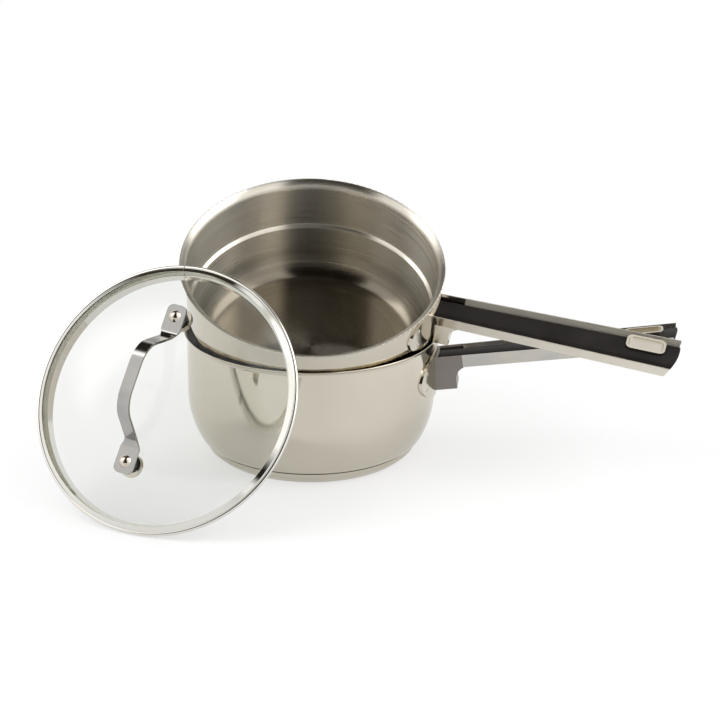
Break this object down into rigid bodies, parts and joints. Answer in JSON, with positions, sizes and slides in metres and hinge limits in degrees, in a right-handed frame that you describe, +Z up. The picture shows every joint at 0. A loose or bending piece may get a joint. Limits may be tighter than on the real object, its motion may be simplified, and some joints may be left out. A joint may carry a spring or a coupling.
{
  "type": "double boiler",
  "caption": "Steel saucepan with a stepped insert pan tipped in its mouth and a domed glass lid leaning on it; long channel handles with black grips and hang slots.",
  "frame": {"origin": "centre of the lower pan's flat base, on the surface it stands on", "axes": "+Z up along the lower pan's axis, +X along the lower pan's handle, -Y towards the leaning lid"},
  "size_m": [0.4537, 0.275, 0.1889],
  "materials": {
    "polished_steel": "mirror polished stainless steel",
    "brushed_interior_steel": "polished outside, finely brushed inside",
    "handle_steel": "satin stainless steel",
    "base_aluminium": "plain, enclosed",
    "black_inlay": "semi-gloss black heat-resistant plastic",
    "lid_glass": "clear tempered glass",
    "rim_steel": "polished stainless steel",
    "strap_steel": "polished stainless steel",
    "rivet_steel": "polished, warm toned",
    "black_rubber": "soft black silicone"
  },
  "bodies": {
    "lower_pan": {"lower_pan_body": "polished_steel", "lower_base_core": "base_aluminium", "lower_base_cap": "polished_steel", "lower_handle_flange": "polished_steel", "lower_handle_bracket": "handle_steel", "lower_handle_shell": "handle_steel", "lower_handle_inlay": "black_inlay", "lower_slot_liner": "handle_steel"},
    "insert_pan": {"insert_pan_body": "brushed_interior_steel", "insert_handle_flange": "polished_steel", "insert_handle_bracket": "handle_steel", "insert_handle_shell": "handle_steel", "insert_handle_inlay": "black_inlay", "insert_slot_liner": "handle_steel"},
    "lid": {"lid_glass": "lid_glass", "lid_rim_band": "rim_steel", "lid_handle_strap": "strap_steel", "lid_rivets": "rivet_steel", "lid_gaskets": "black_rubber", "lid_washers": "rivet_steel"}
  },
  "joints": [
    {"name": "insert_lift", "type": "slide", "parent": "lower_pan", "child": "insert_pan", "axis": [0.0678, -0.401, 0.9135], "range_m": [0, 0.12]},
    {"name": "lid_lift", "type": "slide", "parent": "insert_pan", "child": "lid", "axis": [-0.2051, -0.7931, 0.5736], "range_m": [0, 0.15]}
  ]
}
